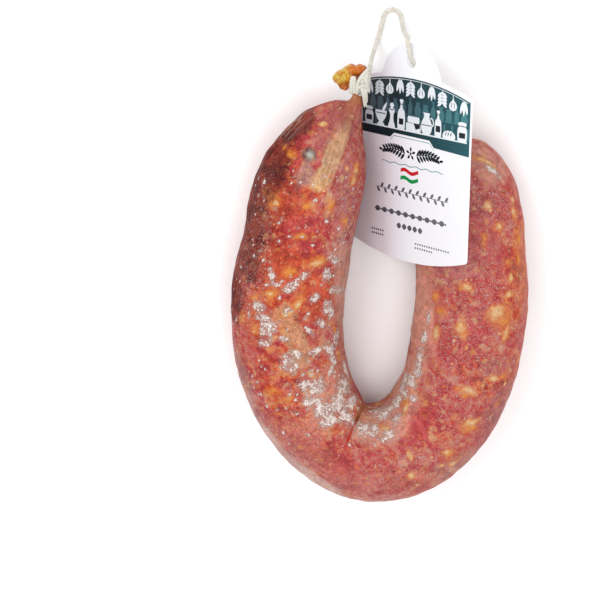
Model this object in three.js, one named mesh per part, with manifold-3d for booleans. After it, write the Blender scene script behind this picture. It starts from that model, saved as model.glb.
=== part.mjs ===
// A curved dry salami in its natural casing, lying flat on its side.
// Both ends of the casing are tied with cotton twine. A thicker twine runs from the left tie, down
// through the hole of a card hang tag, to the right tie: it is the loop the salami hangs by.
// Millimetres, +Z up. The salami lies in the XY plane: its ends point to +Y, its bend to -Y.

import * as THREE from 'three';
import { mergeVertices } from 'three/addons/utils/BufferGeometryUtils.js';
import Module from 'manifold-3d';

const wasm = await Module();
wasm.setup();

// ---- driving dimensions ----

// The body's route seen from above, from the left neck round the bend to the right neck:
// x, y and the casing's radius there.
const LEFT_LIMB = [
  [-9.7, 79.0, 2.0], [-9.6, 75.0, 1.1], [-9.5, 72.8, 1.0], [-9.4, 71.2, 1.2], [-9.3, 69.8, 2.1],
  [-9.7, 67.7, 2.8], [-11.3, 65.4, 5.3], [-13.1, 63.4, 8.1], [-18.3, 56.2, 14.5], [-23.1, 45.2, 19.0],
  [-28.2, 31.0, 21.0], [-31.5, 15.0, 20.8], [-34.2, 0.0, 21.8], [-35.3, -16.0, 21.7], [-33.9, -32.0, 21.3],
];
const BEND = [
  [-28.4, -48.3, 20.2], [-19.9, -61.4, 19.6], [-8.0, -69.1, 19.8], [4.4, -70.3, 19.9], [15.9, -64.0, 19.8],
];
const RIGHT_LIMB = [
  [25.1, -53.0, 20.8], [31.1, -39.7, 21.3], [34.0, -23.9, 21.5], [36.0, -8.0, 21.7], [34.8, 9.5, 20.9],
  [33.8, 25.0, 20.3], [30.8, 37.5, 18.8], [24.4, 45.4, 12.8], [18.8, 53.1, 7.6], [15.0, 56.4, 3.2],
  [13.1, 58.6, 1.4], [12.0, 60.3, 1.0], [10.9, 62.1, 1.1], [9.4, 64.6, 2.2],
];
const LEFT_NECK_HEIGHT = 19.4;
const RIGHT_NECK_HEIGHT = 13.4;
const SQUASH = 0.97; // a section's height over its width
const FLAT_DEPTH = 0.7; // how far the underside is pressed flat
const BODY_SIDES = 26;
const BODY_STEPS = 84;

const CREASE_PLACE = [-14.0, -66.3]; // where the fold inside the bend crosses the route
const CREASE_DEPTH = 1.8;
const CREASE_HALF_WIDTH = 6.5;

// The twisted casing past each tie: centre and half sizes of its lobes.
const LEFT_NUB = [
  { centre: [-8.3, 80.6, 19.8], size: [3.0, 2.4, 2.8] },
  { centre: [-12.4, 79.8, 19.6], size: [2.6, 2.4, 2.8] },
  { centre: [-15.1, 77.6, 19.2], size: [2.8, 3.2, 3.0] },
  { centre: [-14.1, 74.7, 18.8], size: [2.2, 2.0, 2.2] },
  { centre: [-10.6, 80.6, 19.7], size: [3.0, 2.2, 2.8] },
];
const RIGHT_NUB = [
  { centre: [8.6, 66.6, 13.2], size: [4.1, 3.9, 3.7] },
  { centre: [6.4, 70.0, 11.8], size: [4.0, 3.5, 3.4] },
];
const LUMP_TURNS = 14; // facets round a nub's lobe or a knot

const LOOP_TWINE = 1.9; // diameter
const TIE_TWINE = 1.3; // diameter: pulled tight
const TWINE_SIDES = 8;
const WINDINGS = 2;
const WINDING_RADIUS = 1.3; // inside, clear of the neck
const KNOT_SIZE = [2.1, 1.9, 1.8]; // half sizes
const LEFT_TIE = {
  neck: [-9.5, 72.8, 19.4],
  along: [0, 1, 0],
  knot: [-7.3, 73.0, 22.6],
  tail: [[-6.9, 72.6, 23.4], [-6.4, 71.0, 23.6], [-6.1, 69.4, 22.6], [-5.6, 67.9, 21.5], [-5.0, 66.8, 20.3]],
};
const RIGHT_TIE = {
  neck: [12.0, 60.3, 13.4],
  along: [-0.54, 0.84, 0],
  knot: [13.9, 61.7, 16.7],
  tail: [[14.4, 61.8, 16.6], [16.6, 62.6, 15.4], [18.6, 63.0, 12.4], [20.0, 63.0, 9.0]],
};

const TAG_WIDTH = 64.4;
const TAG_SIDE_HEIGHT = 61.2; // left and right edges
const TAG_ARCH = 5.2; // how far the head and foot edges arch outwards
const TAG_CORNER = 1.2;
const TAG_THICKNESS = 0.5;
const TAG_LEAN = 49.4; // degrees between the card and the floor
const TAG_TURN = 1.2; // degrees the card is turned clockwise in its own plane
const TAG_BACK_LEFT = [-10.6, 14.0, 0.2]; // the low left corner of the card's back
const TAB_RADIUS = 16;
const TAB_RISE = 11.6; // the tab's top over the top of the arched head
const HOLE_RADIUS = 2.4;
const HOLE_BELOW_TOP = 6.8;
const ARCH_STEP = 5; // between the points of an arched edge

// From the left tie down to the floor, round the bow of the loop, up over the head of the card's
// tab, down through its hole and back under the card to the right tie.
const LOOP_ROUTE = [
  [-5.3, 75.0, 23.4], [-4.9, 77.5, 23.0], [-4.4, 79.9, 21.0], [-4.0, 81.9, 17.4], [-3.4, 83.7, 12.8],
  [-2.5, 85.6, 8.0], [-1.5, 87.8, 3.7], [-0.5, 90.5, 1.4], [0.3, 93.6, 1.1], [1.1, 96.8, 1.1],
  [1.7, 99.1, 1.1], [3.1, 100.6, 1.1], [4.9, 101.1, 1.1], [6.7, 100.6, 1.1], [7.9, 99.2, 1.1],
  [8.4, 97.1, 1.4], [8.7, 95.1, 3.2], [8.8, 94.0, 7.2], [9.0, 93.6, 11.5], [9.1, 93.4, 16.0],
  [9.2, 93.3, 20.0], [9.8, 93.3, 22.6], [9.6, 92.4, 25.5], [9.7, 90.7, 27.2], [10.0, 88.8, 27.8],
  [10.3, 87.0, 27.4], [10.9, 85.5, 26.5], [11.6, 84.2, 25.4], [12.4, 82.6, 24.4], [12.8, 80.6, 23.5],
  [13.2, 78.4, 22.0], [13.5, 74.2, 20.2], [13.7, 70.4, 18.8], [13.8, 67.2, 17.9], [13.9, 64.6, 17.3],
];
const LOOP_STEPS = 76;
const TAIL_STEPS = 12;

// ---- helpers ----

function toManifold(geometry) {
  const bare = geometry.clone();
  bare.deleteAttribute('normal');
  bare.deleteAttribute('uv');
  const merged = mergeVertices(bare, 1e-4);
  return new wasm.Manifold(new wasm.Mesh({
    numProp: 3,
    vertProperties: new Float32Array(merged.attributes.position.array),
    triVerts: new Uint32Array(merged.index.array),
  }));
}

function toGeometry(solid) {
  const mesh = solid.getMesh();
  const geometry = new THREE.BufferGeometry();
  geometry.setAttribute('position', new THREE.BufferAttribute(mesh.vertProperties, 3));
  geometry.setIndex(new THREE.BufferAttribute(mesh.triVerts, 1));
  geometry.computeVertexNormals();
  return geometry;
}

function lump(centre, size) {
  const geometry = new THREE.SphereGeometry(1, LUMP_TURNS, Math.round(LUMP_TURNS * 0.7));
  geometry.scale(...size);
  geometry.translate(...centre);
  return geometry;
}

// A round cord along a smooth curve through the points.
function cordAlong(points, diameter, steps) {
  const outline = new THREE.Shape(Array.from({ length: TWINE_SIDES }, (_, side) => {
    const angle = (2 * Math.PI * side) / TWINE_SIDES;
    return new THREE.Vector2(Math.cos(angle), Math.sin(angle)).multiplyScalar(diameter / 2);
  }));
  const route = new THREE.CatmullRomCurve3(points.map((point) => new THREE.Vector3(...point)));
  return new THREE.ExtrudeGeometry(outline, { steps, extrudePath: route });
}

function namedMesh(name, geometry, material) {
  const mesh = new THREE.Mesh(geometry, material);
  mesh.name = name;
  return mesh;
}

const casing = new THREE.MeshStandardMaterial({ color: 0xc07362, roughness: 0.5, metalness: 0 });
const cotton = new THREE.MeshStandardMaterial({ color: 0xe6dcc0, roughness: 0.9, metalness: 0 });
const card = new THREE.MeshStandardMaterial({ color: 0xf0f1f5, roughness: 0.3, metalness: 0 });

// ---- the salami ----

// A station of the route with its height: the body rests on the floor, the necks stay higher.
function station([x, y, radius], neckHeight) {
  const height = Math.max(SQUASH * radius - FLAT_DEPTH, neckHeight);
  return { place: new THREE.Vector3(x, y, height), radius };
}

const stations = [
  ...LEFT_LIMB.map((entry) => station(entry, LEFT_NECK_HEIGHT)),
  ...BEND.map((entry) => station(entry, 0)),
  ...RIGHT_LIMB.map((entry) => station(entry, RIGHT_NECK_HEIGHT)),
];
const bodyRoute = new THREE.CatmullRomCurve3(stations.map((entry) => entry.place), false, 'centripetal');
const bodyGirth = new THREE.CatmullRomCurve3(
  stations.map((entry) => new THREE.Vector3(entry.radius, 0, 0)),
  false,
  'catmullrom',
);

// A closed cylinder bent along the route. Each section stands upright across the route, and
// is pressed flat where it meets the floor.
function bodyGeometry() {
  const geometry = new THREE.CylinderGeometry(1, 1, 1, BODY_SIDES, BODY_STEPS);
  const positions = geometry.attributes.position;
  const vertex = new THREE.Vector3();
  for (let i = 0; i < positions.count; i += 1) {
    vertex.fromBufferAttribute(positions, i);
    const along = THREE.MathUtils.clamp(0.5 - vertex.y, 0, 1);
    const place = bodyRoute.getPoint(along);
    const heading = bodyRoute.getTangent(along);
    const inward = new THREE.Vector3(-heading.y, heading.x, 0).normalize();
    const fromCrease = Math.hypot(place.x - CREASE_PLACE[0], place.y - CREASE_PLACE[1]);
    const foldShare = Math.exp(-((fromCrease / CREASE_HALF_WIDTH) ** 2)) * Math.max(vertex.x, 0);
    const radius = bodyGirth.getPoint(along).x - CREASE_DEPTH * foldShare;
    place.addScaledVector(inward, radius * vertex.x);
    place.z = Math.max(place.z + SQUASH * radius * vertex.z, 0);
    positions.setXYZ(i, place.x, place.y, place.z);
  }
  return geometry;
}

function salami() {
  let solid = toManifold(bodyGeometry());
  for (const lobe of [...LEFT_NUB, ...RIGHT_NUB]) {
    solid = solid.add(toManifold(lump(lobe.centre, lobe.size)));
  }
  return namedMesh('salami', toGeometry(solid), casing);
}

// ---- the ties ----

// The closed profile of windings side by side, to be turned round the neck's axis.
function windingProfile() {
  const outer = WINDING_RADIUS + TIE_TWINE;
  const groove = outer - TIE_TWINE * 0.32;
  const half = (WINDINGS * TIE_TWINE) / 2;
  const profile = [new THREE.Vector2(WINDING_RADIUS, -half)];
  for (let turn = 0; turn < WINDINGS; turn += 1) {
    const low = turn * TIE_TWINE - half;
    for (const [radius, share] of [[groove, 0.08], [outer, 0.35], [outer, 0.65], [groove, 0.92]]) {
      profile.push(new THREE.Vector2(radius, low + share * TIE_TWINE));
    }
  }
  profile.push(new THREE.Vector2(WINDING_RADIUS, half), profile[0].clone());
  return profile;
}

// Windings round a neck, the knot on them and the short tail that hangs from the knot.
function tie(name, { neck, along, knot, tail }) {
  const rings = new THREE.LatheGeometry(windingProfile(), 18);
  const turn = new THREE.Quaternion();
  turn.setFromUnitVectors(new THREE.Vector3(0, 1, 0), new THREE.Vector3(...along).normalize());
  rings.applyQuaternion(turn);
  rings.translate(...neck);
  const solid = toManifold(rings)
    .add(toManifold(lump(knot, KNOT_SIZE)))
    .add(toManifold(cordAlong(tail, TIE_TWINE, TAIL_STEPS)));
  return namedMesh(name, toGeometry(solid), cotton);
}

// ---- the hang tag ----

// A card with an arched head and foot, a round tab on the head and a hole in the tab.
// Its outline runs from the low left corner, x from the card's middle, y from the side edges' foot.
function tagShape() {
  const half = TAG_WIDTH / 2;
  const inner = half - TAG_CORNER;
  const archRadius = (half * half + TAG_ARCH * TAG_ARCH) / (2 * TAG_ARCH);
  const arch = (x) => Math.sqrt(archRadius * archRadius - x * x) - (archRadius - TAG_ARCH);
  const head = (x) => TAG_SIDE_HEIGHT + arch(x);
  const tabTop = head(0) + TAB_RISE;
  const tabCentre = tabTop - TAB_RADIUS;
  const tabFoot = Math.asin((head(TAB_RADIUS) - tabCentre) / TAB_RADIUS);

  const shape = new THREE.Shape();
  shape.moveTo(-inner, -arch(inner));
  for (let x = ARCH_STEP - inner; x < inner; x += ARCH_STEP) shape.lineTo(x, -arch(x));
  shape.lineTo(inner, -arch(inner));
  shape.quadraticCurveTo(half, 0, half, TAG_CORNER);
  shape.lineTo(half, TAG_SIDE_HEIGHT - TAG_CORNER);
  shape.quadraticCurveTo(half, TAG_SIDE_HEIGHT, inner, head(inner));
  for (let x = inner - ARCH_STEP; x > TAB_RADIUS + 1; x -= ARCH_STEP) shape.lineTo(x, head(x));
  shape.absarc(0, tabCentre, TAB_RADIUS, tabFoot, Math.PI - tabFoot, false);
  for (let x = -TAB_RADIUS - 1; x > -inner; x -= ARCH_STEP) shape.lineTo(x, head(x));
  shape.lineTo(-inner, head(inner));
  shape.quadraticCurveTo(-half, TAG_SIDE_HEIGHT, -half, TAG_SIDE_HEIGHT - TAG_CORNER);
  shape.lineTo(-half, TAG_CORNER);
  shape.quadraticCurveTo(-half, 0, -inner, -arch(inner));

  const hole = new THREE.Path();
  hole.absarc(0, tabTop - HOLE_BELOW_TOP, HOLE_RADIUS, 0, Math.PI * 2, true);
  shape.holes.push(hole);
  return shape;
}

// The card stands on its low left corner on the floor and leans on the right limb.
function tag() {
  const geometry = new THREE.ExtrudeGeometry(tagShape(), {
    depth: TAG_THICKNESS,
    bevelEnabled: false,
    curveSegments: 16,
  });
  geometry.translate(TAG_WIDTH / 2, 0, 0);
  geometry.rotateZ(-THREE.MathUtils.degToRad(TAG_TURN));
  const mesh = namedMesh('tag', geometry, card);
  mesh.rotation.y = -THREE.MathUtils.degToRad(TAG_LEAN);
  mesh.position.set(...TAG_BACK_LEFT);
  return mesh;
}

// ---- the whole ----

const group = new THREE.Group();
group.add(
  salami(),
  tie('tie_left', LEFT_TIE),
  tie('tie_right', RIGHT_TIE),
  tag(),
  namedMesh('string_loop', cordAlong(LOOP_ROUTE, LOOP_TWINE, LOOP_STEPS), cotton),
);
export default group;
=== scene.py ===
import math
import random

import bpy
import numpy as np
from mathutils import Matrix, Vector, noise


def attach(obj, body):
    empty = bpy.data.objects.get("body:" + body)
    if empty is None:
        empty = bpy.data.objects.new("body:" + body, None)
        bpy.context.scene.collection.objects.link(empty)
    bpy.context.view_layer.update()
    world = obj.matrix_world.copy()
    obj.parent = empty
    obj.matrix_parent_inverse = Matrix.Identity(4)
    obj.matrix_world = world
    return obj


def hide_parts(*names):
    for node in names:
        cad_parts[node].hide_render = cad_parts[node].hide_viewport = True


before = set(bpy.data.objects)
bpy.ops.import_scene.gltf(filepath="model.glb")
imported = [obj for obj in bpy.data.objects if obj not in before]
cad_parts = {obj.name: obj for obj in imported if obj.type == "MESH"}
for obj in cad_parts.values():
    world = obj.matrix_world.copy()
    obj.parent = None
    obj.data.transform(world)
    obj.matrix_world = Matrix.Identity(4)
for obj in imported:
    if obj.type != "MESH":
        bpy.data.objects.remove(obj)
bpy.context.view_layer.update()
MM = 0.001


# ---- The camera ----
# It looks down on the lying salami, fourteen degrees off the vertical towards the tied ends, through
# a long lens, so that the limbs keep their real proportions.
CAMERA_DISTANCE = 0.8
CAMERA_LEAN = math.radians(14)
CAMERA_LENS = 124.7
LOOKED_AT = Vector((-30.4, -8.25, 20.0)) * MM

bpy.ops.object.select_all(action="DESELECT")
bpy.ops.object.camera_add(
    location=LOOKED_AT + CAMERA_DISTANCE * Vector((0, math.sin(CAMERA_LEAN), math.cos(CAMERA_LEAN))),
    rotation=(-CAMERA_LEAN, 0, 0),
)
camera = bpy.context.object
camera.data.lens = CAMERA_LENS
camera.data.clip_start = 0.05
bpy.context.scene.camera = camera
bpy.context.scene.view_settings.view_transform = "Standard"


# ---- The hanging loop ----
# Three-strand cotton twine, tied to the left neck, threaded through the hang tag and tied to the
# right neck. Lying down, its bow rests on the floor and it hangs over the tab of the card.
LOOP_TWINE = 1.9 * MM
LOOP_ROUTE = [
    (-5.3, 75.0, 23.4), (-4.9, 77.5, 23.0), (-4.4, 79.9, 21.0), (-4.0, 81.9, 17.4), (-3.4, 83.7, 12.8),
    (-2.5, 85.6, 8.0), (-1.5, 87.8, 3.7), (-0.5, 90.5, 1.4), (0.3, 93.6, 1.1), (1.1, 96.8, 1.1),
    (1.7, 99.1, 1.1), (3.1, 100.6, 1.1), (4.9, 101.1, 1.1), (6.7, 100.6, 1.1), (7.9, 99.2, 1.1),
    (8.4, 97.1, 1.4), (8.7, 95.1, 3.2), (8.8, 94.0, 7.2), (9.0, 93.6, 11.5), (9.1, 93.4, 16.0),
    (9.2, 93.3, 20.0), (9.8, 93.3, 22.6), (9.6, 92.4, 25.5), (9.7, 90.7, 27.2), (10.0, 88.8, 27.8),
    (10.3, 87.0, 27.4), (10.9, 85.5, 26.5), (11.6, 84.2, 25.4), (12.4, 82.6, 24.4), (12.8, 80.6, 23.5),
    (13.2, 78.4, 22.0), (13.5, 74.2, 20.2), (13.7, 70.4, 18.8), (13.8, 67.2, 17.9), (13.9, 64.6, 17.3),
]


def smooth_route(stations, per_gap):
    """Points on a smooth curve through the stations, per_gap of them from each station to the next.
    A station is x, y, z and any further values, such as a radius, which change smoothly too."""
    rows = [Vector(s) for s in stations]
    rows = [2 * rows[0] - rows[1], *rows, 2 * rows[-1] - rows[-2]]
    places = [Vector(r[:3]) for r in rows]
    route = []
    for i in range(1, len(rows) - 2):
        lengths = [(places[k + 1] - places[k]).length for k in (i - 1, i, i + 1)]
        before, gap, after = (max(length, 1e-6) ** 0.5 for length in lengths)
        start = (rows[i] - rows[i - 1]) / before - (rows[i + 1] - rows[i - 1]) / (before + gap)
        start = (start + (rows[i + 1] - rows[i]) / gap) * gap
        end = (rows[i + 1] - rows[i]) / gap - (rows[i + 2] - rows[i]) / (gap + after)
        end = (end + (rows[i + 2] - rows[i + 1]) / after) * gap
        for step in range(per_gap):
            t = step / per_gap
            route.append(
                rows[i] + start * t + (3 * (rows[i + 1] - rows[i]) - 2 * start - end) * t**2
                + (2 * (rows[i] - rows[i + 1]) + start + end) * t**3
            )
    route.append(rows[-2])
    return route


def twine(name, route, diameter, lay_length=5.5 * MM, phase=0.0):
    """A mesh of three strands twisted round the route, as thick over all as the diameter."""
    strand = diameter * 0.27
    offset = diameter / 2 - strand
    data = bpy.data.curves.new(name, "CURVE")
    data.dimensions = "3D"
    data.bevel_depth = strand
    data.bevel_resolution = 2
    data.use_fill_caps = True
    side = (route[1] - route[0]).orthogonal().normalized()
    frames, walked = [], 0.0
    for i, point in enumerate(route):
        heading = (route[min(i + 1, len(route) - 1)] - route[max(i - 1, 0)]).normalized()
        side = (side - heading * side.dot(heading)).normalized()
        walked += (point - route[i - 1]).length if i else 0.0
        frames.append((point, side, heading.cross(side), walked))
    for k in range(3):
        spline = data.splines.new("POLY")
        spline.points.add(len(frames) - 1)
        for spline_point, (point, across, up, walked) in zip(spline.points, frames):
            angle = 2 * math.pi * (k / 3 + walked / lay_length) + phase
            spline_point.co = (*(point + offset * (math.cos(angle) * across + math.sin(angle) * up)), 1)
    cord = bpy.data.objects.new(name, data)
    bpy.context.collection.objects.link(cord)
    bpy.ops.object.select_all(action="DESELECT")
    cord.select_set(True)
    bpy.context.view_layer.objects.active = cord
    bpy.ops.object.convert(target="MESH")
    bpy.ops.object.shade_smooth()
    return bpy.context.object


class Finish:
    """A material whose nodes are written one after another. Distances in it are millimetres."""

    def __init__(self, name):
        self.material = bpy.data.materials.new(name)
        self.material.use_nodes = True
        self.tree = self.material.node_tree
        self.shader = self.tree.nodes["Principled BSDF"]
        place = self.tree.nodes.new("ShaderNodeTexCoord").outputs["Object"]
        self.place = self.vector("SCALE", place, Scale=1000.0)

    def node(self, kind, inputs, **settings):
        made = self.tree.nodes.new(kind)
        for key, value in settings.items():
            setattr(made, key, value)
        for key, value in inputs.items():
            if isinstance(value, bpy.types.NodeSocket):
                self.tree.links.new(value, made.inputs[key])
            else:
                made.inputs[key].default_value = value
        return made

    def vector(self, operation, a, b=None, **named):
        inputs = {0: a, **named} if b is None else {0: a, 1: b, **named}
        return self.node("ShaderNodeVectorMath", inputs, operation=operation).outputs["Vector"]

    def math(self, operation, a, b=0.0, c=0.0, clamp=False):
        made = self.node("ShaderNodeMath", {0: a, 1: b, 2: c}, operation=operation, use_clamp=clamp)
        return made.outputs[0]

    def times(self, value, by):
        return self.math("MULTIPLY", value, by)

    def plus(self, value, more):
        return self.math("ADD", value, more)

    def scaled(self, value, by, plus, clamp=False):
        """The value times by, and plus added to that."""
        return self.math("MULTIPLY_ADD", value, by, plus, clamp)

    def noise(self, scale, detail=2.0, rough=0.5, place=None, twist=0.0):
        inputs = {"Vector": place or self.place, "Scale": scale, "Detail": detail, "Roughness": rough}
        return self.node("ShaderNodeTexNoise", {**inputs, "Distortion": twist})

    def grain(self, scale, detail=2.0, rough=0.5, place=None, twist=0.0):
        return self.noise(scale, detail, rough, place, twist).outputs["Fac"]

    def cells(self, scale, place=None):
        return self.node("ShaderNodeTexVoronoi", {"Vector": place or self.place, "Scale": scale})

    def edge(self, value, low, high):
        """0 where the value is under low, 1 where it is over high, smooth between."""
        inputs = {"Value": value, "From Min": low, "From Max": high}
        return self.node("ShaderNodeMapRange", inputs, interpolation_type="SMOOTHSTEP").outputs["Result"]

    def ramp(self, value, stops):
        made = self.node("ShaderNodeValToRGB", {"Fac": value})
        elements = made.color_ramp.elements
        while len(elements) < len(stops):
            elements.new(0.5)
        for element, (position, colour) in zip(elements, stops):
            element.position = position
            element.color = (*colour, 1)
        return made.outputs["Color"]

    def mix(self, share, under, over):
        made = self.tree.nodes.new("ShaderNodeMix")
        made.data_type = "RGBA"
        for socket, value in ((made.inputs[0], share), (made.inputs[6], under), (made.inputs[7], over)):
            if isinstance(value, bpy.types.NodeSocket):
                self.tree.links.new(value, socket)
            else:
                socket.default_value = (*value, 1) if isinstance(value, tuple) else value
        return made.outputs[2]

    def laid(self, under, over, share, strength):
        """The under colour with over laid on it, at the strength where the share is 1."""
        return self.mix(self.times(share, strength), under, over)

    def attribute(self, name, output="Fac"):
        return self.node("ShaderNodeAttribute", {}, attribute_name=name).outputs[output]

    def bump(self, height, distance, strength=1.0, under=None):
        inputs = {"Height": height, "Distance": distance * MM, "Strength": strength}
        if under is not None:
            inputs["Normal"] = under
        return self.node("ShaderNodeBump", inputs).outputs["Normal"]

    def set(self, **inputs):
        for key, value in inputs.items():
            socket = self.shader.inputs[key.replace("_", " ")]
            if isinstance(value, bpy.types.NodeSocket):
                self.tree.links.new(value, socket)
            else:
                socket.default_value = (*value, 1) if socket.type == "RGBA" else value
        return self.material


def cotton_finish():
    finish = Finish("cotton_twine")
    mottle = finish.grain(0.5, 3)
    fibre = finish.grain(6.0, 4, 0.7)
    colour = finish.ramp(mottle, [(0.3, (0.5, 0.45, 0.34)), (0.62, (0.64, 0.61, 0.53))])
    colour = finish.mix(finish.edge(fibre, 0.35, 0.75), colour, (0.72, 0.7, 0.64))
    normal = finish.bump(fibre, 0.12)
    return finish.set(
        Base_Color=colour, Roughness=0.85, Sheen_Weight=0.3, Sheen_Roughness=0.5, Normal=normal
    )


cotton = cotton_finish()
loop_route = [Vector(p) * MM for p in smooth_route(LOOP_ROUTE, 8)]
loop = twine("hanging_loop", loop_route, LOOP_TWINE)
loop.data.materials.append(cotton)
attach(loop, "root")
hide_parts("string_loop")
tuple(loop_route[0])


# ---- The body ----
# Coarsely minced pork and fat, packed in a natural casing that is bent to a ring while fresh and
# dried: the casing shrinks on the meat, shows every piece, wrinkles, and grows white mould.
LEFT_LIMB = [
    (-9.7, 79, 2), (-9.6, 75, 1.1), (-9.5, 72.8, 1), (-9.4, 71.2, 1.2), (-9.3, 69.8, 2.1),
    (-9.7, 67.7, 2.8), (-11.3, 65.4, 5.3), (-13.1, 63.4, 8.1), (-18.3, 56.2, 14.5), (-23.1, 45.2, 19),
    (-28.2, 31, 21), (-31.5, 15, 20.8), (-34.2, 0, 21.8), (-35.3, -16, 21.7), (-33.9, -32, 21.3),
]
BEND = [
    (-28.4, -48.3, 20.2), (-19.9, -61.4, 19.6), (-8, -69.1, 19.8), (4.4, -70.3, 19.9), (15.9, -64, 19.8),
]
RIGHT_LIMB = [
    (25.1, -53, 20.8), (31.1, -39.7, 21.3), (34, -23.9, 21.5), (36, -8, 21.7), (34.8, 9.5, 20.9),
    (33.8, 25, 20.3), (30.8, 37.5, 18.8), (24.4, 45.4, 12.8), (18.8, 53.1, 7.6), (15, 56.4, 3.2),
    (13.1, 58.6, 1.4), (12, 60.3, 1), (10.9, 62.1, 1.1), (9.4, 64.6, 2.2),
]
LEFT_NECK_HEIGHT = 19.4
RIGHT_NECK_HEIGHT = 13.4
SQUASH = 0.97
FLAT_DEPTH = 0.7
BODY_SIDES = 24
BODY_LEVELS = 3
POINTS_PER_GAP = 24
RING_SPACING = 0.34
CLOSEST_RINGS = 1.6
WIDEST_RINGS = 7.0


def lying(limb, neck_height):
    return [(x, y, max(SQUASH * radius - FLAT_DEPTH, neck_height), radius) for x, y, radius in limb]


# Each ring stands upright across the route. Rings stand closer together where the casing narrows:
# the spacing is a share of the radius, between the closest and the widest.
stations = lying(LEFT_LIMB, LEFT_NECK_HEIGHT) + lying(BEND, 0) + lying(RIGHT_LIMB, RIGHT_NECK_HEIGHT)
body_route = smooth_route(stations, POINTS_PER_GAP)
subdivided_girth = (2 + math.cos(2 * math.pi / BODY_SIDES)) / 3
rings, walked, since_ring = [], 0.0, math.inf
for i, row in enumerate(body_route):
    step = (row - body_route[i - 1]).to_3d().length if i else 0.0
    since_ring += step
    walked += step
    spacing = min(max(RING_SPACING * row[3], CLOSEST_RINGS), WIDEST_RINGS)
    if since_ring > spacing or i == len(body_route) - 1:
        ahead = body_route[min(i + 1, len(body_route) - 1)] - body_route[max(i - 1, 0)]
        heading = math.atan2(ahead[1], ahead[0])
        rings.append((row.to_3d() * MM, heading, row[3] * MM / subdivided_girth, walked))
        since_ring = 0.0
body_length = walked

bpy.ops.object.select_all(action="DESELECT")
centre, heading, radius, _ = rings[0]
bpy.ops.mesh.primitive_circle_add(
    vertices=BODY_SIDES, radius=radius, location=centre, rotation=(math.pi / 2, 0, heading + math.pi / 2),
)
body = bpy.context.object
body.name = "salami_body"
bpy.ops.object.transform_apply(location=True, rotation=True, scale=True)
bpy.ops.object.mode_set(mode="EDIT")
bpy.ops.mesh.select_all(action="SELECT")
bpy.ops.transform.resize(value=(1, 1, SQUASH), center_override=centre)
bpy.ops.mesh.edge_face_add()
for (centre, heading, radius, _), (next_centre, next_heading, next_radius, _) in zip(rings, rings[1:]):
    turn = (next_heading - heading + math.pi) % (2 * math.pi) - math.pi
    bpy.ops.mesh.extrude_region_move(TRANSFORM_OT_translate={"value": next_centre - centre})
    bpy.ops.transform.rotate(value=-turn, orient_axis="Z", center_override=next_centre)
    bpy.ops.transform.resize(value=(next_radius / radius,) * 3, center_override=next_centre)
bpy.ops.mesh.select_all(action="SELECT")
bpy.ops.mesh.normals_make_consistent(inside=False)
bpy.ops.object.mode_set(mode="OBJECT")

# How far along and how far round the body each point lies, kept through the subdivision. The turn
# round starts at the top: its sine is 1 on the outer side of the ring and -1 on the inner side.
along = np.repeat([walked for _, _, _, walked in rings], BODY_SIDES)
turn_round = np.tile(2 * np.pi * np.arange(BODY_SIDES) / BODY_SIDES, len(rings))
for name, values in (("along", along), ("up_side", np.cos(turn_round)), ("outer_side", np.sin(turn_round))):
    body.data.attributes.new(name, "FLOAT", "POINT").data.foreach_set("value", values)
subdivision = body.modifiers.new("fine", "SUBSURF")
subdivision.levels = subdivision.render_levels = BODY_LEVELS
bpy.ops.object.modifier_apply(modifier=subdivision.name)


def knead(piece, name, size, depth, detail=0, kind="SOFT_NOISE"):
    """Pushes the surface in and out by up to the depth, in lumps of about the size."""
    lumps = bpy.data.textures.new(name, "CLOUDS")
    lumps.noise_type = kind
    lumps.noise_scale = size * MM
    lumps.noise_depth = detail
    push = piece.modifiers.new(name, "DISPLACE")
    push.texture = lumps
    push.texture_coords = "LOCAL"
    push.strength = 2 * depth * MM
    bpy.ops.object.modifier_apply(modifier=push.name)


knead(body, "bulges", 24, 0.45)
knead(body, "minced_lumps", 7, 0.45, 1)


def read_points(mesh, name, width):
    values = np.empty(len(mesh.vertices) * width)
    if name in ("position", "normal"):
        mesh.vertices.foreach_get("co" if name == "position" else "normal", values)
    else:
        mesh.attributes[name].data.foreach_get("value", values)
    return values.reshape(-1, width) if width > 1 else values


def write_points(mesh, name, values):
    mesh.attributes.new(name, "FLOAT", "POINT").data.foreach_set("value", values.astype(np.float32))


def cos_sin(turn):
    """The cosine and the sine of a turn in degrees."""
    return math.cos(math.radians(turn)), math.sin(math.radians(turn))


def roughness_at(places, seed=0.0):
    """Smooth noise of about one unit's wavelength, from -1 to 1."""
    return np.array([noise.noise(Vector((x + seed, y, z))) for x, y, z in places])


def rise(values, low, high):
    share = np.clip((values - low) / (high - low), 0, 1)
    return share * share * (3 - 2 * share)


places = read_points(body.data, "position", 3) / MM
normals = read_points(body.data, "normal", 3)
along = read_points(body.data, "along", 1)
up_side = read_points(body.data, "up_side", 1)
outer_side = read_points(body.data, "outer_side", 1)
span = np.hypot(up_side, outer_side)
up_side, outer_side = up_side / span, outer_side / span
turn_round = np.arctan2(outer_side, up_side)

# Pleats where the casing is gathered in the two ties.
from_end = np.minimum(along, body_length - along)
in_pleats = rise(from_end, 9, 15) * (1 - rise(from_end, 20, 46))
sway = roughness_at(np.stack([up_side * 1.3, outer_side * 1.3, along * 0.035], 1))
pleats = np.abs(np.sin(turn_round * 8 + 4.0 * sway)) ** 0.8 - 0.6
push = 0.42 * in_pleats * pleats * (0.55 + 0.9 * roughness_at(places * 0.06, 5.0))

# Fine wrinkles along the body, in some stretches more than in others.
threads = np.stack([up_side * 8.5, outer_side * 8.5, along * 0.055], 1)
push += 0.16 * roughness_at(threads) * (0.45 + 0.8 * rise(roughness_at(places * 0.035, 9.0), -0.2, 0.5))

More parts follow.
